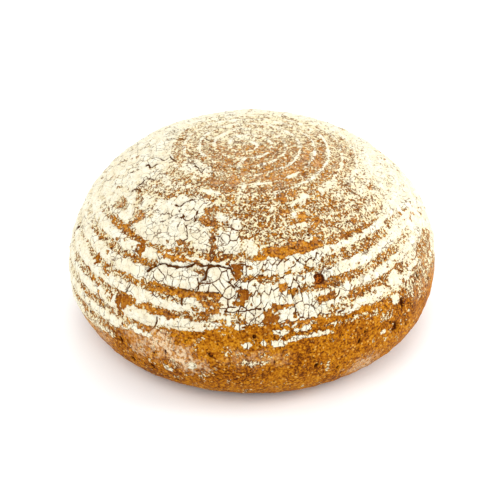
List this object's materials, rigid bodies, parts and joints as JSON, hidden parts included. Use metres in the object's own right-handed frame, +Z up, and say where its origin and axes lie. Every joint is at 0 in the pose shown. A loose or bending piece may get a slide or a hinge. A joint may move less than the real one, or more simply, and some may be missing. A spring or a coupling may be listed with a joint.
{
  "type": "rye bread loaf",
  "caption": "Round rye loaf with a domed top, a flat base and a floured crust marked with the spiral ridges of a coiled proofing basket.",
  "frame": {"origin": "on the resting plane, under the middle of the loaf's plan", "axes": "+Z up, through the crown; -Y towards the side with the bare brown foot; +X to the right of it"},
  "size_m": [0.2404, 0.2406, 0.1237],
  "materials": {
    "floured_crust": "matte, golden-brown baked crust under a cracked coat of white flour"
  },
  "bodies": {
    "root": {"loaf": "floured_crust"}
  },
  "joints": []
}
